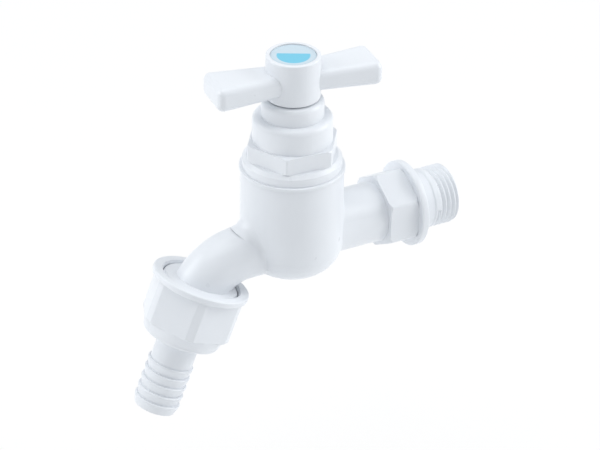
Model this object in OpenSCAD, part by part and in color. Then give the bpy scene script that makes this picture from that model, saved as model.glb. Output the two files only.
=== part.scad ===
// Garden tap of white ABS: screw-down body, T handle and a hose union on a bent spout.
// Frame: Z up, the wall side is +Y, the spout points to -Y.
// The origin is on the axis of the inlet, at the wall face of its flange.

/* [Body] */
// Reach from the wall face of the inlet flange to the axis of the body
body_reach = 46; // [43:0.5:60]
// Outside diameter of the body
body_d = 35.2; // [34.6:0.1:37]
// Height of the body's rim above the axis of the inlet
body_top = 27; // [25:0.5:36]
// Depth of the body's bottom below the axis of the inlet
body_bottom = 13; // [12.6:0.1:16]
// Radius of the round edge at the bottom
bottom_round = 11; // [6:0.5:12]
// Wall round the water chamber
chamber_wall = 3.8; // [3.4:0.1:5]
// How far the rim stands out from the body
rim_lip = 0.4; // [0.1:0.1:1]
// Height of the rim's lip
rim_h = 1.2; // [0.6:0.1:2]

/* [Seat] */
// Bore of the valve seat
seat_bore_d = 11; // [9:0.5:12]
// Outside diameter of the seat ring
seat_d = 14.4; // [13.4:0.1:15.4]
// Height of the seat above the axis of the inlet
seat_z = 10.2; // [9.6:0.1:12]
// Height of the seat ring above the pedestal
seat_ring_h = 1.4; // [0.6:0.1:2]
// Diameter of the pedestal that carries the seat
pedestal_d = 17; // [16:0.5:19]

/* [Inlet] */
// Bore of the inlet
inlet_bore_d = 13; // [10:0.5:14]
// Outside diameter of the inlet pipe
inlet_pipe_d = 21; // [19:0.5:23]
// Radius of the fillet between the inlet pipe and the body
inlet_fillet = 1.2; // [0.8:0.1:2]
// Size across the flats of the inlet hexagon
inlet_hex_af = 24; // [23.5:0.5:27]
// Length of the inlet hexagon
inlet_hex_l = 11; // [6:0.5:14]
// Diameter of the inlet flange
inlet_flange_d = 30.2; // [28:0.1:36]
// Thickness of the inlet flange
inlet_flange_t = 2.7; // [2:0.1:4]
// Outside diameter of the inlet's pipe thread
inlet_thread_d = 20.955; // [18:0.005:26.5]
// Length from the inlet flange to the end of the thread
inlet_thread_l = 15.1; // [11:0.1:20]
// Length of the plain neck between the flange and the thread
inlet_neck_l = 5; // [3:0.5:6]
// How much the plain neck is smaller than the thread, on the diameter
inlet_neck_step = 0.6; // [0.2:0.1:2]

/* [Spout] */
// Outside diameter of the spout
spout_d = 18.6; // [17:0.5:20]
// Bore of the spout
spout_bore_d = 14; // [11:0.5:15]
// Depth of the spout's root below the axis of the inlet
spout_drop = 2.6; // [2.2:0.1:3.4]
// Distance from the axis of the body to the start of the bend
bend_start = 18.1; // [17:0.1:26]
// Radius of the bend, along the middle of the spout
bend_r = 20; // [18:0.5:30]
// Lean of the outlet away from the vertical
outlet_lean = 22; // [0:1:40]
// Radius of the fillet over the spout's root
root_fillet_top = 5; // [3:0.5:6]
// Radius of the fillet at the sides of the spout's root
root_fillet_side = 2; // [1:0.5:3]
// Outside diameter of the outlet's pipe thread
outlet_thread_d = 26.441; // [24:0.001:30]
// Length of the outlet thread
outlet_thread_l = 14.3; // [10:0.1:18]
// How far the shoulder of the outlet reaches up round the bend
shoulder_back = 5.8; // [4:0.1:7]

/* [Bonnet] */
// Diameter of the bonnet's flange
bonnet_flange_d = 33.8; // [33:0.1:35]
// Thickness of the bonnet's flange
bonnet_flange_t = 4.1; // [2.4:0.1:5]
// Chamfer on top of the bonnet's flange
bonnet_chamfer = 1.3; // [0.4:0.1:1.6]
// Size across the flats of the bonnet's hexagon
bonnet_hex_af = 28.4; // [24:0.1:28.8]
// Height of the bonnet's hexagon
bonnet_hex_h = 6; // [5:0.1:12]
// Angle at which the bonnet's hexagon stopped when it was screwed home
bonnet_turn = -35; // [-60:1:60]
// Diameter of the lower tier
lower_tier_d = 27.2; // [26:0.1:29]
// Height of the lower tier
lower_tier_h = 9.1; // [6:0.1:12]
// Diameter of the upper tier
upper_tier_d = 21.2; // [19:0.1:24]
// Height of the upper tier
upper_tier_h = 6.3; // [5:0.1:12]
// Radius of the round edge on both tiers
tier_round = 2; // [0.5:0.1:2.5]
// Outside diameter of the bonnet's thread in the body
spigot_d = 27.6; // [26:0.1:28]
// Length of the bonnet's thread in the body
spigot_l = 10.5; // [8:0.5:11]

/* [Spindle] */
// Diameter of the spindle's shaft
shaft_d = 10; // [8:0.1:11]
// Outside diameter of the spindle's thread
spindle_thread_d = 14; // [12.5:0.1:15]
// Length of the spindle's thread
spindle_thread_l = 17; // [14:0.5:19]
// Side of the square that drives the spindle
square_w = 6.6; // [5:0.1:7]
// Height of that square
square_h = 7; // [4:0.1:8]
// How far the valve lifts from its seat when the tap is full open
valve_lift = 6; // [3:0.5:6]
// Section of the spindle's rubber rings
ring_w = 1.8; // [1.2:0.1:2.2]

/* [Valve] */
// Diameter of the jumper's disc
jumper_d = 15; // [14:0.1:17]
// Thickness of the jumper's disc
jumper_t = 2.5; // [2:0.1:3.5]
// Diameter of the jumper's stem
stem_d = 4; // [3:0.1:5]
// Length of the jumper's stem
stem_l = 10; // [6:0.5:12]
// Thickness of the rubber washer
washer_t = 3; // [2:0.1:4]
// Diameter of the stud that holds the washer
stud_d = 3; // [2:0.1:3.5]
// Size across the flats of the washer's nut
stud_nut_af = 5.5; // [5:0.1:7]
// Thickness of the washer's nut
stud_nut_t = 2.4; // [1.6:0.1:3]

/* [Handle] */
// Diameter of the handle's hub
hub_d = 18.6; // [17.6:0.1:20.8]
// Height of the handle's hub
hub_h = 15.3; // [14:0.1:20]
// Length over both arms
handle_span = 58.6; // [46:1:90]
// Width of an arm at its end
arm_w_end = 16.4; // [12:0.2:22]
// Width of an arm at the hub
arm_w_root = 12.4; // [9:0.2:16]
// Height of an arm at its end
arm_h_end = 8.4; // [7:0.1:11]
// Height of an arm at the hub
arm_h_root = 7.2; // [7:0.1:9]
// Radius of the round edges of an arm
arm_round = 2.6; // [1:0.1:3.4]
// Height of the middle of the arms above the foot of the hub
arm_z = 6.4; // [5.6:0.1:9]
// Turn of the arms away from the line of the inlet, with the tap shut
handle_turn = -6; // [-45:1:45]
// Diameter of the index disc
index_d = 15.6; // [14:0.1:16.4]
// Thickness of the index disc
index_t = 1.8; // [1.2:0.1:2.4]
// Depth of the index disc's face below the hub's rim
index_sink = 0.4; // [0.1:0.1:1]
// Diameter of the handle screw's thread
screw_d = 3.5; // [3:0.1:4]
// Length of the handle screw below its head
screw_l = 10; // [6:0.5:12]
// Diameter of the handle screw's head
screw_head_d = 7; // [6:0.1:8]
// Height of the handle screw's head
screw_head_h = 2.4; // [1.8:0.1:3]

/* [Union nut] */
// Diameter of the nut's flange
nut_flange_d = 34.2; // [33:0.1:40]
// Thickness of the nut's flange
nut_flange_t = 2.2; // [1.6:0.1:4]
// Size across the flats of the nut
nut_af = 29.6; // [29.4:0.1:34]
// Diameter over the nut's rounded corners
nut_corner_d = 32.6; // [31:0.1:34]
// Length of the whole nut
nut_l = 22; // [20:0.1:26]
// Length of the round collar at the foot of the nut
nut_collar_l = 5; // [3.5:0.1:7]
// Diameter of the collar's foot
nut_collar_d = 27.2; // [25:0.1:28.6]
// Angle at which the nut stopped when it was screwed home
nut_turn = 24; // [-60:1:60]
// How far the nut's mouth reaches above the shoulder of the outlet
nut_rise = 0.6; // [0:0.1:1]

/* [Hose tail] */
// Thickness of the gasket in the union
gasket_t = 2.4; // [1.6:0.1:3]
// Thickness of the hose tail's flange
tail_flange_t = 2.6; // [2:0.1:3]
// Diameter of the hose tail's neck
tail_neck_d = 14.8; // [12:0.1:15]
// Length of the neck that shows below the nut
tail_neck_l = 9.6; // [6:0.1:20]
// Diameter over the ridges that grip the hose
tail_crest_d = 16.2; // [14.8:0.1:19]
// Diameter at the foot of each ridge
tail_root_d = 14.4; // [12:0.1:14.4]
// Spacing of the ridges
tail_pitch = 3.55; // [2.6:0.05:5]
// Number of ridges
tail_ridges = 5; // [3:1:8]
// Bore of the hose tail
tail_bore_d = 9.6; // [7:0.1:10.4]

/* [Hidden] */
$fn = 96;

abs_white = [0.92, 0.935, 0.96];
rubber_black = [0.12, 0.12, 0.13];
brass_gold = [0.80, 0.66, 0.36];
steel_grey = [0.66, 0.67, 0.69];
index_blue_grey = [0.80, 0.84, 0.89];

// Clearances and small sizes that several pieces share
thread_gap = 0.3;
running_gap = 0.08;
seat_gap = 0.05;
free_gap = 1;
eps = 0.01;
edge_round = 0.5;

// Places on the axis of the body, from the foot up
body_r = body_d / 2;
chamber_r = body_r - chamber_wall;
spigot_r = spigot_d / 2;
bonnet_hex_z = body_top + bonnet_flange_t;
lower_tier_z = bonnet_hex_z + bonnet_hex_h;
upper_tier_z = lower_tier_z + lower_tier_h;
bonnet_top = upper_tier_z + upper_tier_h;
handle_z = bonnet_top + 0.5;
hub_top = handle_z + hub_h;
index_z = hub_top - index_sink - index_t;
web_z = handle_z + square_h;
web_t = 2.2;
head_z = web_z + web_t;
screw_core_d = screw_d - 0.7;
washer_z = seat_z;
jumper_z = washer_z + washer_t;
spindle_z = jumper_z + jumper_t;
thread_top = spindle_z + spindle_thread_l;
tube_z = spindle_z + valve_lift + free_gap;
guide_z = thread_top + valve_lift + free_gap;

// The rubber ring between bonnet and body lies in a neck above the bonnet's thread
body_bore_d = spigot_d + 2 * thread_gap;
spigot_bore_d = spigot_d - 5.2;
neck_ring_d = body_bore_d - 2 * seat_gap - 2 * ring_w;
neck_d = neck_ring_d - 2 * seat_gap;
neck_l = ring_w + 2 * seat_gap;

// The two rubber rings of the spindle stay in the bonnet's bore over the whole lift
ring_outer_d = shaft_d + running_gap;
ring_inner_d = ring_outer_d - 2 * ring_w;
upper_ring_z = bonnet_top - valve_lift - ring_w;
lower_ring_z = upper_ring_z - 2 * ring_w;

// Places on the axis of the outlet, measured from the end of the bend
bend_angle = 90 - outlet_lean;
shoulder_z = -shoulder_back;
spout_end = shoulder_z + outlet_thread_l;
nut_top = shoulder_z - nut_rise;
nut_foot = nut_top + nut_l;
gasket_z = spout_end;
tail_flange_z = gasket_z + gasket_t;
nut_lip_z = tail_flange_z + tail_flange_t;
nut_hex_end = nut_foot - nut_collar_l;
nut_bore_d = outlet_thread_d + 2 * thread_gap;
tail_ridge_z = nut_foot + tail_neck_l;

// Frames that pieces are placed in

module at_body_axis() {
    translate([0, -body_reach, 0]) children();
}

module at_outlet() {
    translate([0, -body_reach - bend_start - bend_r * sin(bend_angle),
               -spout_drop - bend_r * (1 - cos(bend_angle))])
        rotate([180 - outlet_lean, 0, 0]) children();
}

// Turns a solid that stands on Z so that it points to the wall, +Y
module to_wall() {
    rotate([-90, 0, 0]) children();
}

// Plain shapes that several pieces use

module disc(d, h, z = 0) {
    translate([0, 0, z]) cylinder(d = d, h = h);
}

module ring(outer_d, inner_d, h, z = 0) {
    difference() {
        disc(outer_d, h, z);
        disc(inner_d, h + 2, z - 1);
    }
}

// Half section of a disc with a round upper edge, to be revolved
module round_top_section(r, h, round_r) {
    square([r, h - round_r]);
    square([r - round_r, h]);
    translate([r - round_r, h - round_r]) circle(round_r);
}

module round_disc(d, h, round_r) {
    rotate_extrude() round_top_section(d / 2, h, round_r);
}

// Disc with both edges rounded
module pill_disc(d, h, round_r) {
    rotate_extrude() {
        translate([0, round_r]) square([d / 2, h - 2 * round_r]);
        square([d / 2 - round_r, h]);
        translate([d / 2 - round_r, round_r]) circle(round_r);
        translate([d / 2 - round_r, h - round_r]) circle(round_r);
    }
}

// Hexagonal prism given across the flats, its corners cut back by a turned chamfer
module hexagon(af, h, corner_d, chamfer) {
    intersection() {
        cylinder(d = af / cos(30), h = h, $fn = 6);
        rotate_extrude() polygon([
            [0, 0], [corner_d / 2 - chamfer, 0], [corner_d / 2, chamfer],
            [corner_d / 2, h - chamfer], [corner_d / 2 - chamfer, h], [0, h]]);
    }
}

// Rubber ring of round section
module o_ring(inner_d, section_d, z) {
    translate([0, 0, z]) rotate_extrude() translate([(inner_d + section_d) / 2, 0]) circle(d = section_d);
}

// Fillet between the body and a round pipe that leaves it level, toward -Y at height 0.
// A ball rolls round the pipe: its centre keeps its own radius away from both surfaces.
// The foot of the body is round, so below the start of that round the ball runs on it.

fillet_steps = 72;
fillet_arc = 6;
fillet_bite = 0.06;

function ball_y(x, z, f, foot_z) =
    let (run = body_r - bottom_round,
         drop = max(0, foot_z - z),
         reach = run + sqrt(max(0, pow(bottom_round + f, 2) - drop * drop)))
    -sqrt(max(0, reach * reach - x * x));

function body_contact(c, f, foot_z) =
    let (out = norm([c[0], c[1]]),
         run = body_r - bottom_round,
         dz = min(0, c[2] - foot_z),
         slope = norm([out - run, dz]),
         keep = (bottom_round - fillet_bite) / slope,
         flat = out - run,
         r = run + flat * keep)
    [c[0] * r / out, c[1] * r / out, c[2] - dz + dz * keep];

function fillet_section(t, pipe_r, f, foot_z) =
    let (c = [(pipe_r + f) * cos(t),
              ball_y((pipe_r + f) * cos(t), (pipe_r + f) * sin(t), f, foot_z),
              (pipe_r + f) * sin(t)],
         on_body = body_contact(c, f, foot_z),
         on_pipe = [(pipe_r - fillet_bite) * cos(t), c[1], (pipe_r - fillet_bite) * sin(t)],
         a = on_body - c,
         b = on_pipe - c,
         corner = [on_pipe[0] * 0.9, on_body[1] * 0.9, on_pipe[2] * 0.9])
    concat(
        [for (i = [0 : fillet_arc])
            let (k = i / fillet_arc,
                 v = a * (1 - k) + b * k)
            c + v / norm(v) * (norm(a) * (1 - k) + norm(b) * k)],
        [corner]);

module pipe_fillet(pipe_r, top_f, side_f, foot_z) {
    rows = [for (i = [0 : fillet_steps - 1])
        let (t = 360 * i / fillet_steps)
        fillet_section(t, pipe_r, side_f + (top_f - side_f) * max(0, sin(t)), foot_z)];
    n = fillet_arc + 2;
    points = [for (row = rows) for (p = row) p];
    faces = [for (i = [0 : fillet_steps - 1]) for (j = [0 : n - 1])
        let (i2 = (i + 1) % fillet_steps,
             j2 = (j + 1) % n)
        each [[i * n + j, i * n + j2, i2 * n + j2], [i * n + j, i2 * n + j2, i2 * n + j]]];
    polyhedron(points, faces);
}

// Body: one moulding from the inlet thread to the outlet thread

module body_shell() {
    foot = bottom_round;
    translate([0, 0, -body_bottom]) rotate_extrude() {
        square([body_r - foot, body_top + body_bottom]);
        translate([0, foot]) square([body_r, body_top + body_bottom - foot]);
        intersection() {
            translate([body_r - foot, foot]) circle(foot);
            square([body_r, foot]);
        }
    }
    translate([0, 0, body_top - rim_h])
        round_disc(body_d + 2 * rim_lip, rim_h, rim_lip);
}

module spout_tube(d, inner_end) {
    translate([0, -inner_end, -spout_drop])
        rotate([90, 0, 0]) cylinder(d = d, h = bend_start - inner_end);
    translate([0, -bend_start, -spout_drop - bend_r])
        rotate(180, [1, 0, 1]) rotate_extrude(angle = bend_angle) translate([bend_r, 0]) circle(d = d);
}

// Inlet pipe, hexagon, flange, plain neck and thread, from the body to the end of the thread
module inlet_outside() {
    to_wall() {
        disc(inlet_pipe_d, body_reach - inlet_flange_t);
        translate([0, 0, body_reach - inlet_flange_t - inlet_hex_l])
            rotate(90) hexagon(inlet_hex_af, inlet_hex_l + eps, inlet_hex_af / cos(30) - 0.4, 0.7);
        translate([0, 0, body_reach - inlet_flange_t])
            pill_disc(inlet_flange_d, inlet_flange_t, edge_round);
        disc(inlet_thread_d - inlet_neck_step, inlet_neck_l, body_reach);
        translate([0, 0, body_reach + inlet_neck_l])
            rotate_extrude() polygon([
                [0, -eps], [(inlet_thread_d - inlet_neck_step) / 2, -eps], [inlet_thread_d / 2, 0.5],
                [inlet_thread_d / 2, inlet_thread_l - inlet_neck_l - 1],
                [inlet_thread_d / 2 - 1, inlet_thread_l - inlet_neck_l],
                [0, inlet_thread_l - inlet_neck_l]]);
    }
}

// Chamber round the seat, cored from above and open to the spout.
// The pedestal stands in it and carries the seat over the end of the inlet's bore.
module chamber() {
    floor_z = -body_bottom + chamber_wall;
    inner_round = bottom_round - chamber_wall;
    difference() {
        translate([0, 0, floor_z]) rotate_extrude() {
            square([chamber_r - inner_round, body_top - floor_z + eps]);
            translate([0, inner_round]) square([chamber_r, body_top - floor_z - inner_round + eps]);
            intersection() {
                translate([chamber_r - inner_round, inner_round]) circle(inner_round);
                square([chamber_r, inner_round]);
            }
        }
        pedestal();
    }
}

module pedestal() {
    top = seat_z - seat_ring_h;
    disc(pedestal_d, top + body_bottom, -body_bottom);
    translate([-pedestal_d / 2, 0, -body_bottom]) cube([pedestal_d, body_r, top + body_bottom]);
    disc(seat_d, seat_z - top + 1, top - 1);
}

module tap_body() {
    color(abs_white) {
        difference() {
            union() {
                at_body_axis() {
                    body_shell();
                    spout_tube(spout_d, 0);
                    translate([0, 0, -spout_drop])
                        pipe_fillet(spout_d / 2, root_fillet_top, root_fillet_side,
                                    bottom_round - body_bottom + spout_drop);
                    rotate(180) pipe_fillet(inlet_pipe_d / 2, inlet_fillet, inlet_fillet,
                                    bottom_round - body_bottom);
                    inlet_outside();
                }
                at_outlet() outlet_thread();
            }
            at_body_axis() {
                chamber();
                disc(body_bore_d, spigot_l + 1, body_top - spigot_l);
                disc(seat_bore_d, seat_z + 1);
                spout_tube(spout_bore_d, chamber_r - 3);
                to_wall() disc(inlet_bore_d, body_reach + inlet_thread_l + 1);
            }
            at_outlet() disc(spout_bore_d, spout_end + 1);
        }
    }
}

// Collar with the pipe thread for the union nut, its top is the shoulder that shows in the nut
module outlet_thread() {
    translate([0, 0, shoulder_z]) rotate_extrude() polygon([
        [0, 0], [outlet_thread_d / 2 - 0.6, 0], [outlet_thread_d / 2, 0.6],
        [outlet_thread_d / 2, outlet_thread_l - 1.2], [outlet_thread_d / 2 - 1.2, outlet_thread_l],
        [0, outlet_thread_l]]);
}

// Bonnet: flange, hexagon and two tiers outside, thread for the spindle inside

module bonnet() {
    tube_d = spindle_thread_d + 5;
    color(abs_white) at_body_axis() difference() {
        union() {
            disc(neck_d, neck_l + eps, body_top - neck_l);
            disc(spigot_d, spigot_l - neck_l, body_top - spigot_l);
            translate([0, 0, body_top]) rotate_extrude() polygon([
                [0, 0], [bonnet_flange_d / 2, 0], [bonnet_flange_d / 2, bonnet_flange_t - bonnet_chamfer],
                [bonnet_flange_d / 2 - bonnet_chamfer, bonnet_flange_t], [0, bonnet_flange_t]]);
            translate([0, 0, bonnet_hex_z - eps]) rotate(bonnet_turn)
                hexagon(bonnet_hex_af, bonnet_hex_h + eps, bonnet_hex_af / cos(30) - 0.3, 0.5);
            translate([0, 0, lower_tier_z - eps]) round_disc(lower_tier_d, lower_tier_h + eps, tier_round);
            translate([0, 0, upper_tier_z - eps]) round_disc(upper_tier_d, upper_tier_h + eps, tier_round);
        }
        disc(shaft_d + 2 * running_gap, bonnet_top, body_top);
        disc(spindle_thread_d + 2 * thread_gap, guide_z - body_top + spigot_l + 1, body_top - spigot_l - 1);
        disc(spigot_bore_d, tube_z - body_top + spigot_l + 1, body_top - spigot_l - 1);
        ring(spigot_bore_d, tube_d, lower_tier_z - tube_z, tube_z - eps);
    }
}

module bonnet_ring() {
    color(rubber_black) at_body_axis()
        o_ring(neck_ring_d, ring_w, body_top - neck_l / 2);
}

// Spindle, with two grooves for its rubber rings and a hole for the jumper's stem

module spindle() {
    color(brass_gold) at_body_axis() difference() {
        union() {
            disc(spindle_thread_d, spindle_thread_l, spindle_z);
            disc(shaft_d, handle_z - thread_top + eps, thread_top - eps);
            translate([-square_w / 2, -square_w / 2, handle_z]) cube([square_w, square_w, square_h]);
        }
        ring_groove(upper_ring_z);
        ring_groove(lower_ring_z);
        disc(stem_d + 2 * running_gap, stem_l + 1.5, spindle_z - 1);
        disc(screw_core_d + 2 * seat_gap, screw_l + 1, web_z - screw_l);
    }
}

module ring_groove(z) {
    ring(shaft_d + 1, ring_inner_d - 2 * seat_gap, ring_w + 2 * seat_gap, z - ring_w / 2 - seat_gap);
}

module spindle_ring(z) {
    color(rubber_black) at_body_axis() o_ring(ring_inner_d, ring_w, z);
}

module upper_spindle_ring() {
    spindle_ring(upper_ring_z);
}

module lower_spindle_ring() {
    spindle_ring(lower_ring_z);
}

// Valve: jumper, rubber washer and the nut that holds it

module jumper() {
    color(brass_gold) at_body_axis() {
        disc(jumper_d, jumper_t, jumper_z);
        disc(stem_d, stem_l + eps, jumper_z + jumper_t - eps);
        disc(stud_d, washer_t + stud_nut_t + 1, jumper_z - washer_t - stud_nut_t - 1 + eps);
    }
}

module valve_washer() {
    color(rubber_black) at_body_axis() ring(jumper_d - 0.6, stud_d + 2 * seat_gap, washer_t, washer_z);
}

module washer_nut() {
    color(brass_gold) at_body_axis() translate([0, 0, washer_z - stud_nut_t]) difference() {
        hexagon(stud_nut_af, stud_nut_t, stud_nut_af / cos(30), 0.2);
        disc(stud_d + 2 * seat_gap, stud_nut_t + 2, -1);
    }
}

// Handle: hub and two flaring arms in one moulding

// One arm is a loft of rounded rectangles along +X, closed by a round edge at its end
function arm_section(x, w, h, round_r) =
    [for (corner = [0 : 3]) for (i = [0 : arm_arc])
        let (a = 90 * corner + 90 * i / arm_arc,
             sy = (corner == 0 || corner == 3) ? 1 : -1,
             sz = (corner < 2) ? 1 : -1)
        [x, sy * (w / 2 - round_r) + round_r * cos(a), sz * (h / 2 - round_r) + round_r * sin(a)]];

arm_arc = 6;
arm_end_steps = 5;
arm_end_round = 2.2;

module arm() {
    inner_x = hub_d / 4;
    end_x = handle_span / 2;
    sections = concat(
        [arm_section(inner_x, arm_w_root, arm_h_root, arm_round)],
        [for (i = [0 : arm_end_steps])
            let (a = 84 * i / arm_end_steps,
                 cut = arm_end_round * (1 - cos(a)))
            arm_section(end_x - arm_end_round * (1 - sin(a)),
                        arm_w_end - 2 * cut, arm_h_end - 2 * cut, arm_round - cut)]);
    n = len(sections[0]);
    last = len(sections) - 1;
    points = [for (section = sections) for (p = section) p];
    sides = [for (k = [0 : last - 1]) for (i = [0 : n - 1])
        let (j = (i + 1) % n)
        each [[k * n + i, (k + 1) * n + j, k * n + j], [k * n + i, (k + 1) * n + i, (k + 1) * n + j]]];
    root_cap = [for (i = [0 : n - 1]) i];
    end_cap = [for (i = [0 : n - 1]) last * n + n - 1 - i];
    polyhedron(points, concat(sides, [root_cap, end_cap]));
}

module handle() {
    color(abs_white) at_body_axis() difference() {
        union() {
            translate([0, 0, handle_z]) pill_disc(hub_d, hub_h, edge_round);
            translate([0, 0, handle_z + arm_z]) rotate(90 + handle_turn) {
                arm();
                rotate(180) arm();
            }
        }
        disc(index_d + 2 * seat_gap, index_t + index_sink + 1, index_z);
        disc(screw_head_d + 1.6, index_z - head_z + 1, head_z);
        disc(screw_d + 2 * thread_gap, web_t + 2, web_z - 1);
        translate([-square_w / 2 - seat_gap, -square_w / 2 - seat_gap, handle_z - 1])
            cube([square_w + 2 * seat_gap, square_w + 2 * seat_gap, square_h + 1]);
    }
}

module handle_screw() {
    color(steel_grey) at_body_axis() difference() {
        union() {
            translate([0, 0, head_z]) round_disc(screw_head_d, screw_head_h, 1);
            disc(screw_d, web_t + eps, web_z);
            disc(screw_core_d, screw_l - web_t + eps, head_z - screw_l);
        }
        for (a = [0, 90]) translate([0, 0, head_z + screw_head_h])
            rotate(a) cube([4, 0.9, 2.4], center = true);
    }
}

module index_disc() {
    color(index_blue_grey) at_body_axis() translate([0, 0, index_z]) round_disc(index_d, index_t, 0.2);
}

// Union: nut, gasket and ridged hose tail

module union_nut() {
    color(abs_white) at_outlet() difference() {
        union() {
            translate([0, 0, nut_top]) pill_disc(nut_flange_d, nut_flange_t, edge_round);
            translate([0, 0, nut_top + 1]) rotate(nut_turn)
                hexagon(nut_af, nut_hex_end - nut_top - 1 + eps, nut_corner_d, 0.4);
            translate([0, 0, nut_foot]) mirror([0, 0, 1]) rotate_extrude() {
                round_r = 1.2;
                polygon([[0, 0], [nut_collar_d / 2 - round_r, 0], [nut_collar_d / 2 - 0.1, round_r],
                    [nut_af / 2, nut_collar_l], [0, nut_collar_l]]);
                translate([nut_collar_d / 2 - round_r, round_r]) circle(round_r);
            }
        }
        disc(nut_bore_d, nut_lip_z - nut_top + 1, nut_top - 1);
        disc(tail_neck_d + 0.6, nut_l + 2, nut_top - 1);
        translate([0, 0, nut_top - eps]) cylinder(d1 = nut_bore_d + 0.9, d2 = nut_bore_d, h = 0.9);
    }
}

module union_gasket() {
    color(rubber_black) at_outlet() ring(outlet_thread_d - 2, tail_bore_d + 1, gasket_t, gasket_z);
}

module hose_tail() {
    color(abs_white) at_outlet() difference() {
        union() {
            disc(outlet_thread_d - 1.4, tail_flange_t, tail_flange_z);
            disc(tail_neck_d, tail_ridge_z - tail_flange_z, tail_flange_z);
            translate([0, 0, tail_ridge_z]) rotate_extrude() {
                polygon(concat(
                    [[0, 0]],
                    [for (i = [0 : tail_ridges - 1]) each [
                        [tail_crest_d / 2 - 0.3, i * tail_pitch],
                        [tail_crest_d / 2, i * tail_pitch + 0.3],
                        [tail_crest_d / 2, i * tail_pitch + 0.7],
                        [tail_root_d / 2, (i + 1) * tail_pitch - eps]]],
                    [[0, tail_ridges * tail_pitch - eps]]));
            }
        }
        disc(tail_bore_d, tail_ridge_z + tail_ridges * tail_pitch, tail_flange_z - 1);
    }
}

tap_body();
bonnet();
bonnet_ring();
spindle();
upper_spindle_ring();
lower_spindle_ring();
jumper();
valve_washer();
washer_nut();
handle();
handle_screw();
index_disc();
union_nut();
union_gasket();
hose_tail();
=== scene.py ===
import math

import bpy
from mathutils import Matrix, Vector


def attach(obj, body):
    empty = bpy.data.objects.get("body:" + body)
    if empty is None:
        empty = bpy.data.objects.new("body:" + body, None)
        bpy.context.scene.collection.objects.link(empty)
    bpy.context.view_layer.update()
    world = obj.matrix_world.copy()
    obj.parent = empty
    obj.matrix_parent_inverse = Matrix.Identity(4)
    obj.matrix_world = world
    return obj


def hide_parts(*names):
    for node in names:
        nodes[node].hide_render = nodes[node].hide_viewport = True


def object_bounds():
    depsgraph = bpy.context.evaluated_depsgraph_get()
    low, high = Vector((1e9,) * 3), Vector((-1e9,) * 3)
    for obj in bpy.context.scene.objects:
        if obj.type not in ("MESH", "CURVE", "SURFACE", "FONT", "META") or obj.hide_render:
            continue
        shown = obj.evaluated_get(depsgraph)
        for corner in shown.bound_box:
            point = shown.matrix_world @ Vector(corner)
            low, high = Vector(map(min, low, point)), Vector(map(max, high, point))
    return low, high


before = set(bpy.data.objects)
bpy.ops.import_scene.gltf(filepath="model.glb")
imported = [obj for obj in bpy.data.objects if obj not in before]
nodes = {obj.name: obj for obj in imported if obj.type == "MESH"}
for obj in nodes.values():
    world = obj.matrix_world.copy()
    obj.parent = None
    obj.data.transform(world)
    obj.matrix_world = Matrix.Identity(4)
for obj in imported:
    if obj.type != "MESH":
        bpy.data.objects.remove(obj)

cad_low, cad_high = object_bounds()


# Tap body
# One injection moulding of glossy white ABS, from the inlet thread to the outlet thread.
# Both pipe threads are moulded on it, and the inlet end screws into the wall fitting.

MM = 0.001
PIPE_PITCH = 1.814 * MM
BODY_AXIS_Y = -46 * MM


def select_only(piece):
    bpy.ops.object.select_all(action="DESELECT")
    piece.select_set(True)
    bpy.context.view_layer.objects.active = piece


def group_socket(group, name, kind, direction, value=None):
    socket = group.interface.new_socket(name=name, in_out=direction, socket_type="NodeSocket" + kind)
    if value is not None:
        socket.default_value = value
    return socket


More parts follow.
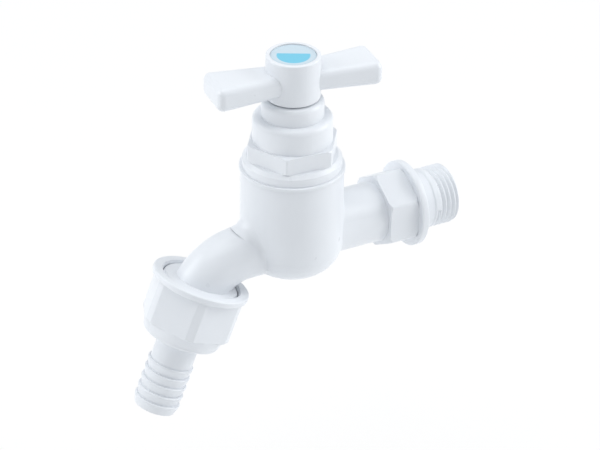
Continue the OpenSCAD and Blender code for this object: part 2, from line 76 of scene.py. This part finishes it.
def moulded_plastic_group():
    """Tone, gloss and skin of an injection moulding, with faint flow streaks."""
    group = bpy.data.node_groups.new("moulded_plastic", "ShaderNodeTree")
    group_socket(group, "Colour", "Color", "INPUT", (0.85, 0.87, 0.9, 1))
    group_socket(group, "Shade", "Float", "INPUT", 0.03)
    group_socket(group, "Gloss", "Float", "INPUT", 0.3)
    group_socket(group, "Colour", "Color", "OUTPUT")
    group_socket(group, "Roughness", "Float", "OUTPUT")
    group_socket(group, "Skin", "Float", "OUTPUT")
    make, link = group.nodes.new, group.links.new
    given = make("NodeGroupInput")
    result = make("NodeGroupOutput")
    place = make("ShaderNodeTexCoord")
    cloud = make("ShaderNodeTexNoise")
    cloud.inputs["Scale"].default_value = 55
    cloud.inputs["Detail"].default_value = 3
    link(place.outputs["Object"], cloud.inputs["Vector"])
    tone = make("ShaderNodeMapRange")
    tone.inputs["From Min"].default_value = 0.3
    tone.inputs["From Max"].default_value = 0.7
    link(cloud.outputs["Fac"], tone.inputs["Value"])
    darken = make("ShaderNodeMath")
    darken.operation = "MULTIPLY"
    link(tone.outputs["Result"], darken.inputs[0])
    link(given.outputs["Shade"], darken.inputs[1])
    shade = make("ShaderNodeHueSaturation")
    keep = make("ShaderNodeMath")
    keep.operation = "SUBTRACT"
    keep.inputs[0].default_value = 1
    link(darken.outputs["Value"], keep.inputs[1])
    link(keep.outputs["Value"], shade.inputs["Value"])
    link(given.outputs["Colour"], shade.inputs["Color"])
    link(shade.outputs["Color"], result.inputs["Colour"])
    grain = make("ShaderNodeTexNoise")
    grain.inputs["Scale"].default_value = 1400
    grain.inputs["Detail"].default_value = 2
    link(place.outputs["Object"], grain.inputs["Vector"])
    wave = make("ShaderNodeTexNoise")
    wave.inputs["Scale"].default_value = 210
    wave.inputs["Detail"].default_value = 1
    link(place.outputs["Object"], wave.inputs["Vector"])
    rough = make("ShaderNodeMapRange")
    rough.inputs["To Min"].default_value = -0.05
    rough.inputs["To Max"].default_value = 0.05
    link(wave.outputs["Fac"], rough.inputs["Value"])
    gloss = make("ShaderNodeMath")
    link(given.outputs["Gloss"], gloss.inputs[0])
    link(rough.outputs["Result"], gloss.inputs[1])
    link(gloss.outputs["Value"], result.inputs["Roughness"])
    skin = make("ShaderNodeMath")
    skin.operation = "MULTIPLY_ADD"
    skin.inputs[1].default_value = 0.25
    link(grain.outputs["Fac"], skin.inputs[0])
    link(wave.outputs["Fac"], skin.inputs[2])
    link(skin.outputs["Value"], result.inputs["Skin"])
    return group


moulded_plastic = moulded_plastic_group()


def white_abs(name, colour, shade, gloss, edge_round):
    """Glossy white ABS whose edges are as round as the tool left them."""
    material = bpy.data.materials.new(name)
    material.use_nodes = True
    make, link = material.node_tree.nodes.new, material.node_tree.links.new
    surface = material.node_tree.nodes["Principled BSDF"]
    surface.inputs["IOR"].default_value = 1.53
    plastic = make("ShaderNodeGroup")
    plastic.node_tree = moulded_plastic
    plastic.inputs["Colour"].default_value = (*colour, 1)
    plastic.inputs["Shade"].default_value = shade
    plastic.inputs["Gloss"].default_value = gloss
    link(plastic.outputs["Colour"], surface.inputs["Base Color"])
    link(plastic.outputs["Roughness"], surface.inputs["Roughness"])
    edge = make("ShaderNodeBevel")
    edge.samples = 16
    edge.inputs["Radius"].default_value = edge_round
    relief = make("ShaderNodeBump")
    relief.inputs["Strength"].default_value = 0.3
    relief.inputs["Distance"].default_value = 0.008 * MM
    link(plastic.outputs["Skin"], relief.inputs["Height"])
    link(edge.outputs["Normal"], relief.inputs["Normal"])
    link(relief.outputs["Normal"], surface.inputs["Normal"])
    return material


def dress(piece, material):
    piece.data.materials.clear()
    piece.data.materials.append(material)


def merged_copy(node, name):
    """A copy of a solid's mesh whose loose triangles are joined, to be cut and to stand for the solid."""
    copy = nodes[node].copy()
    copy.data = nodes[node].data.copy()
    copy.name = name
    copy.parent = None
    for key in list(copy.keys()):
        del copy[key]
    bpy.context.scene.collection.objects.link(copy)
    select_only(copy)
    bpy.ops.object.mode_set(mode="EDIT")
    bpy.ops.mesh.select_all(action="SELECT")
    bpy.ops.mesh.remove_doubles(threshold=0.002 * MM)
    bpy.ops.object.mode_set(mode="OBJECT")
    return copy


def cut_thread(piece, crest_r, depth, start, turns, place):
    """Cuts a V groove that winds along +Z from start, once it is turned and moved by place."""
    bpy.ops.object.select_all(action="DESELECT")
    bpy.ops.mesh.primitive_circle_add(vertices=3, radius=crest_r, fill_type="NOTHING")
    cutter = bpy.context.object
    root_r = crest_r - depth
    outside_r = crest_r + depth
    half_mouth = 0.9 * PIPE_PITCH
    corners = [(root_r, 0), (outside_r, half_mouth), (outside_r, -half_mouth)]
    for vertex, (out, along) in zip(cutter.data.vertices, corners):
        vertex.co = (out, 0, start + along)
    wind = cutter.modifiers.new("wind", "SCREW")
    wind.steps = 60
    wind.render_steps = 60
    wind.screw_offset = PIPE_PITCH
    wind.iterations = turns
    bpy.ops.object.modifier_apply(modifier="wind")
    bpy.ops.object.mode_set(mode="EDIT")
    bpy.ops.mesh.select_all(action="SELECT")
    bpy.ops.mesh.fill_holes(sides=3)
    bpy.ops.mesh.select_all(action="SELECT")
    bpy.ops.mesh.normals_make_consistent(inside=False)
    bpy.ops.object.mode_set(mode="OBJECT")
    cutter.data.transform(place)
    select_only(piece)
    groove = piece.modifiers.new("groove", "BOOLEAN")
    groove.operation = "DIFFERENCE"
    groove.solver = "EXACT"
    groove.object = cutter
    bpy.ops.object.modifier_apply(modifier="groove")
    bpy.data.objects.remove(cutter)


INLET_THREAD_R = 20.955 / 2 * MM
OUTLET_THREAD_R = 26.441 / 2 * MM
OUTLET_PLACE = Vector((0, -82.6437 * MM, -15.1079 * MM))
OUTLET_TURN = math.radians(158)

body_moulding = merged_copy("tap_body", "tap_body_moulding")
cut_thread(body_moulding, INLET_THREAD_R, 0.8 * MM, 6.6 * MM, 6, Matrix.Rotation(math.radians(-90), 4, "X"))
cut_thread(body_moulding, OUTLET_THREAD_R, 1.0 * MM, -2.6 * MM, 7,
           Matrix.Translation(OUTLET_PLACE) @ Matrix.Rotation(OUTLET_TURN, 4, "X"))
select_only(body_moulding)
bpy.ops.mesh.customdata_custom_splitnormals_clear()
bpy.ops.object.shade_smooth_by_angle(angle=math.radians(28))
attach(body_moulding, "tap")
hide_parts("tap_body")

body_white = white_abs("abs_tap_body", (0.80, 0.825, 0.86), 0.025, 0.30, 0.35 * MM)
dress(body_moulding, body_white)
dress(nodes["tap_body"], body_white)


# Bonnet and its ring
# The bonnet is a white moulding screwed into the body, with the spindle's thread inside.
# A black nitrile ring in the neck above its thread keeps the water in.

dress(nodes["bonnet"], white_abs("abs_bonnet", (0.81, 0.835, 0.87), 0.02, 0.30, 0.3 * MM))


def nitrile(name, colour):
    """Moulded rubber, matt, with the dust of its mould in fine specks."""
    material = bpy.data.materials.new(name)
    material.use_nodes = True
    make, link = material.node_tree.nodes.new, material.node_tree.links.new
    surface = material.node_tree.nodes["Principled BSDF"]
    surface.inputs["IOR"].default_value = 1.5
    place = make("ShaderNodeTexCoord")
    bloom = make("ShaderNodeTexNoise")
    bloom.inputs["Scale"].default_value = 380
    bloom.inputs["Detail"].default_value = 4
    link(place.outputs["Object"], bloom.inputs["Vector"])
    colours = make("ShaderNodeMix")
    colours.data_type = "RGBA"
    colours.inputs["A"].default_value = (*colour, 1)
    colours.inputs["B"].default_value = tuple(c * 2.2 for c in colour) + (1,)
    link(bloom.outputs["Fac"], colours.inputs["Factor"])
    link(colours.outputs["Result"], surface.inputs["Base Color"])
    rough = make("ShaderNodeMapRange")
    rough.inputs["To Min"].default_value = 0.55
    rough.inputs["To Max"].default_value = 0.8
    link(bloom.outputs["Fac"], rough.inputs["Value"])
    link(rough.outputs["Result"], surface.inputs["Roughness"])
    relief = make("ShaderNodeBump")
    relief.inputs["Strength"].default_value = 0.4
    relief.inputs["Distance"].default_value = 0.02 * MM
    link(bloom.outputs["Fac"], relief.inputs["Height"])
    link(relief.outputs["Normal"], surface.inputs["Normal"])
    return material


dress(nodes["bonnet_ring"], nitrile("nitrile_bonnet_ring", (0.014, 0.014, 0.015)))


# Spindle and its rings
# The spindle is turned from brass bar. Two nitrile rings in its grooves seal it in the bonnet.


def turned_brass(name, colour, tool_mark, marks_deep):
    """Brass from the lathe: fine rings round Z where the tool went, and a little tarnish."""
    material = bpy.data.materials.new(name)
    material.use_nodes = True
    make, link = material.node_tree.nodes.new, material.node_tree.links.new
    surface = material.node_tree.nodes["Principled BSDF"]
    surface.inputs["Metallic"].default_value = 1
    place = make("ShaderNodeTexCoord")
    marks = make("ShaderNodeTexWave")
    marks.wave_type = "BANDS"
    marks.bands_direction = "Z"
    marks.inputs["Scale"].default_value = math.pi / 10 / tool_mark
    marks.inputs["Distortion"].default_value = 0.6
    marks.inputs["Detail"].default_value = 2
    link(place.outputs["Object"], marks.inputs["Vector"])
    tarnish = make("ShaderNodeTexNoise")
    tarnish.inputs["Scale"].default_value = 140
    tarnish.inputs["Detail"].default_value = 5
    link(place.outputs["Object"], tarnish.inputs["Vector"])
    colours = make("ShaderNodeMix")
    colours.data_type = "RGBA"
    colours.inputs["A"].default_value = (*colour, 1)
    colours.inputs["B"].default_value = (colour[0] * 0.72, colour[1] * 0.66, colour[2] * 0.6, 1)
    link(tarnish.outputs["Fac"], colours.inputs["Factor"])
    link(colours.outputs["Result"], surface.inputs["Base Color"])
    rough = make("ShaderNodeMapRange")
    rough.inputs["To Min"].default_value = 0.22
    rough.inputs["To Max"].default_value = 0.42
    link(tarnish.outputs["Fac"], rough.inputs["Value"])
    link(rough.outputs["Result"], surface.inputs["Roughness"])
    relief = make("ShaderNodeBump")
    relief.inputs["Strength"].default_value = 0.6
    relief.inputs["Distance"].default_value = marks_deep
    link(marks.outputs["Fac"], relief.inputs["Height"])
    link(relief.outputs["Normal"], surface.inputs["Normal"])
    return material


dress(nodes["spindle"], turned_brass("brass_spindle", (0.78, 0.57, 0.24), 0.25 * MM, 0.01 * MM))
dress(nodes["upper_spindle_ring"], nitrile("nitrile_upper_ring", (0.013, 0.013, 0.014)))
dress(nodes["lower_spindle_ring"], nitrile("nitrile_lower_ring", (0.014, 0.013, 0.013)))


# Valve
# A brass jumper sits loose in the spindle's foot. A small brass nut holds its rubber washer.

dress(nodes["jumper"], turned_brass("brass_jumper", (0.76, 0.56, 0.25), 0.2 * MM, 0.012 * MM))
dress(nodes["washer_nut"], turned_brass("brass_washer_nut", (0.80, 0.60, 0.27), 0.4 * MM, 0.006 * MM))
dress(nodes["valve_washer"], nitrile("nitrile_valve_washer", (0.02, 0.019, 0.018)))


# Handle, its screw and the index disc
# The handle is a white moulding on the spindle's square, held by a steel screw in its hub.
# A milky disc with a blue segment for cold water snaps in over the screw.

dress(nodes["handle"], white_abs("abs_handle", (0.80, 0.825, 0.86), 0.02, 0.30, 0.5 * MM))


def zinc_plate(name, colour):
    """Zinc plated steel with a fine crystal bloom."""
    material = bpy.data.materials.new(name)
    material.use_nodes = True
    make, link = material.node_tree.nodes.new, material.node_tree.links.new
    surface = material.node_tree.nodes["Principled BSDF"]
    surface.inputs["Metallic"].default_value = 1
    place = make("ShaderNodeTexCoord")
    crystals = make("ShaderNodeTexVoronoi")
    crystals.inputs["Scale"].default_value = 1500
    link(place.outputs["Object"], crystals.inputs["Vector"])
    colours = make("ShaderNodeMix")
    colours.data_type = "RGBA"
    colours.inputs["A"].default_value = (*colour, 1)
    colours.inputs["B"].default_value = tuple(c * 0.8 for c in colour) + (1,)
    link(crystals.outputs["Distance"], colours.inputs["Factor"])
    link(colours.outputs["Result"], surface.inputs["Base Color"])
    rough = make("ShaderNodeMapRange")
    rough.inputs["To Min"].default_value = 0.25
    rough.inputs["To Max"].default_value = 0.4
    link(crystals.outputs["Distance"], rough.inputs["Value"])
    link(rough.outputs["Result"], surface.inputs["Roughness"])
    return material


dress(nodes["handle_screw"], zinc_plate("zinc_handle_screw", (0.62, 0.63, 0.65)))


INDEX_FACE_Z = 67.9 * MM
USER_SIDE = (0.88, -0.476, 0)
MARK_CHORD = -1.4 * MM
MARK_R = 5.6 * MM
MARK_BLUR = 0.25 * MM


def index_plastic(name, milk, blue):
    """Milky acrylic disc with the blue segment of a cold tap on the side of the user."""
    material = bpy.data.materials.new(name)
    material.use_nodes = True
    make, link = material.node_tree.nodes.new, material.node_tree.links.new
    surface = material.node_tree.nodes["Principled BSDF"]
    surface.inputs["IOR"].default_value = 1.49
    place = make("ShaderNodeTexCoord")
    from_middle = make("ShaderNodeVectorMath")
    from_middle.operation = "SUBTRACT"
    from_middle.inputs[1].default_value = (0, BODY_AXIS_Y, INDEX_FACE_Z)
    link(place.outputs["Object"], from_middle.inputs[0])
    to_user = make("ShaderNodeVectorMath")
    to_user.operation = "DOT_PRODUCT"
    to_user.inputs[1].default_value = USER_SIDE
    link(from_middle.outputs["Vector"], to_user.inputs[0])
    out = make("ShaderNodeVectorMath")
    out.operation = "LENGTH"
    link(from_middle.outputs["Vector"], out.inputs[0])
    before_chord = make("ShaderNodeMapRange")
    before_chord.interpolation_type = "SMOOTHSTEP"
    before_chord.inputs["From Min"].default_value = MARK_CHORD - MARK_BLUR
    before_chord.inputs["From Max"].default_value = MARK_CHORD + MARK_BLUR
    link(to_user.outputs["Value"], before_chord.inputs["Value"])
    within_rim = make("ShaderNodeMapRange")
    within_rim.interpolation_type = "SMOOTHSTEP"
    within_rim.inputs["From Min"].default_value = MARK_R + MARK_BLUR
    within_rim.inputs["From Max"].default_value = MARK_R - MARK_BLUR
    link(out.outputs["Value"], within_rim.inputs["Value"])
    mark = make("ShaderNodeMath")
    mark.operation = "MULTIPLY"
    link(before_chord.outputs["Result"], mark.inputs[0])
    link(within_rim.outputs["Result"], mark.inputs[1])
    milk_cloud = make("ShaderNodeTexNoise")
    milk_cloud.inputs["Scale"].default_value = 260
    link(place.outputs["Object"], milk_cloud.inputs["Vector"])
    rough = make("ShaderNodeMapRange")
    rough.inputs["To Min"].default_value = 0.14
    rough.inputs["To Max"].default_value = 0.28
    link(milk_cloud.outputs["Fac"], rough.inputs["Value"])
    link(rough.outputs["Result"], surface.inputs["Roughness"])
    colours = make("ShaderNodeMix")
    colours.data_type = "RGBA"
    colours.inputs["A"].default_value = (*milk, 1)
    colours.inputs["B"].default_value = (*blue, 1)
    link(mark.outputs["Value"], colours.inputs["Factor"])
    link(colours.outputs["Result"], surface.inputs["Base Color"])
    return material


dress(nodes["index_disc"], index_plastic("acrylic_index", (0.58, 0.69, 0.76), (0.18, 0.56, 0.74)))


# Union nut and gasket
# The nut is a white moulding that turns on the flange of the hose tail.
# It presses the tail and a rubber gasket on the end of the outlet thread.

dress(nodes["union_nut"], white_abs("abs_union_nut", (0.80, 0.825, 0.86), 0.03, 0.32, 0.45 * MM))
dress(nodes["union_gasket"], nitrile("nitrile_gasket", (0.016, 0.016, 0.016)))


# Hose tail
# A white moulding whose ridges hold the hose. Their sharp edges face the nut.

dress(nodes["hose_tail"], white_abs("abs_hose_tail", (0.79, 0.815, 0.85), 0.03, 0.34, 0.2 * MM))


# Studio
# A pale floor below the tap, a white room round it and three soft lamps.
# The wall fitting holds the tap, so the floor lies low enough for the hose tail to come down.

tap_middle = Vector((0, -42 * MM, 8 * MM))
floor_z = cad_low.z - 35 * MM


def studio_floor():
    bpy.ops.object.select_all(action="DESELECT")
    bpy.ops.mesh.primitive_plane_add(size=8, location=(0, 0, floor_z))
    floor = bpy.context.object
    floor.name = "studio_floor"
    material = bpy.data.materials.new("pale_floor")
    material.use_nodes = True
    make, link = material.node_tree.nodes.new, material.node_tree.links.new
    result = material.node_tree.nodes["Material Output"]
    lit = material.node_tree.nodes["Principled BSDF"]
    lit.inputs["Base Color"].default_value = (0.9, 0.9, 0.9, 1)
    lit.inputs["Roughness"].default_value = 0.9
    white = make("ShaderNodeEmission")
    white.inputs["Color"].default_value = (1, 1, 1, 1)
    white.inputs["Strength"].default_value = 1.0
    rays = make("ShaderNodeLightPath")
    amount = make("ShaderNodeMath")
    amount.operation = "MULTIPLY"
    amount.inputs[1].default_value = 0.85
    link(rays.outputs["Is Camera Ray"], amount.inputs[0])
    mix = make("ShaderNodeMixShader")
    link(amount.outputs["Value"], mix.inputs["Fac"])
    link(lit.outputs["BSDF"], mix.inputs[1])
    link(white.outputs["Emission"], mix.inputs[2])
    link(mix.outputs["Shader"], result.inputs["Surface"])
    floor.data.materials.append(material)


studio_floor()


def studio_room(colour, strength):
    """The camera sees white, and the room itself gives a weaker light."""
    world = bpy.data.worlds.new("studio_room")
    bpy.context.scene.world = world
    world.use_nodes = True
    make, link = world.node_tree.nodes.new, world.node_tree.links.new
    light = world.node_tree.nodes["Background"]
    light.inputs["Color"].default_value = (*colour, 1)
    light.inputs["Strength"].default_value = strength
    white = make("ShaderNodeBackground")
    white.inputs["Color"].default_value = (1, 1, 1, 1)
    rays = make("ShaderNodeLightPath")
    mix = make("ShaderNodeMixShader")
    link(rays.outputs["Is Camera Ray"], mix.inputs["Fac"])
    link(light.outputs["Background"], mix.inputs[1])
    link(white.outputs["Background"], mix.inputs[2])
    link(mix.outputs["Shader"], world.node_tree.nodes["World Output"].inputs["Surface"])


studio_room((0.94, 0.97, 1.0), 0.56)


def soft_lamp(name, place, size, power, colour):
    lamp = bpy.data.lights.new(name, "AREA")
    lamp.shape = "SQUARE"
    lamp.size = size
    lamp.energy = power
    lamp.color = colour
    lamp_object = bpy.data.objects.new(name, lamp)
    bpy.context.scene.collection.objects.link(lamp_object)
    lamp_object.location = tap_middle + Vector(place)
    lamp_object.rotation_euler = (-Vector(place)).to_track_quat("-Z", "Y").to_euler()


soft_lamp("left_softbox", (-0.55, -1.05, 0.55), 0.9, 6.2, (0.98, 0.99, 1))
soft_lamp("right_softbox", (0.45, 1.1, 0.55), 0.9, 8.4, (0.98, 0.99, 1))
soft_lamp("top_softbox", (-0.1, -0.1, 1.3), 1.2, 7.4, (0.98, 0.99, 1))

CAMERA_PLACE = (0.755898, -0.455105, 0.511128)
CAMERA_TURN = (59.4042, -0.6573, 61.7723)
CAMERA_LENS = 175.653

bpy.ops.object.select_all(action="DESELECT")
bpy.ops.object.camera_add(location=CAMERA_PLACE, rotation=[math.radians(turn) for turn in CAMERA_TURN])
camera = bpy.context.object
camera.name = "photo_camera"
camera.data.lens = CAMERA_LENS
camera.data.sensor_width = 36
camera.data.clip_start = 0.05
camera.data.clip_end = 20
bpy.context.scene.camera = camera
bpy.context.scene.view_settings.view_transform = "Standard"
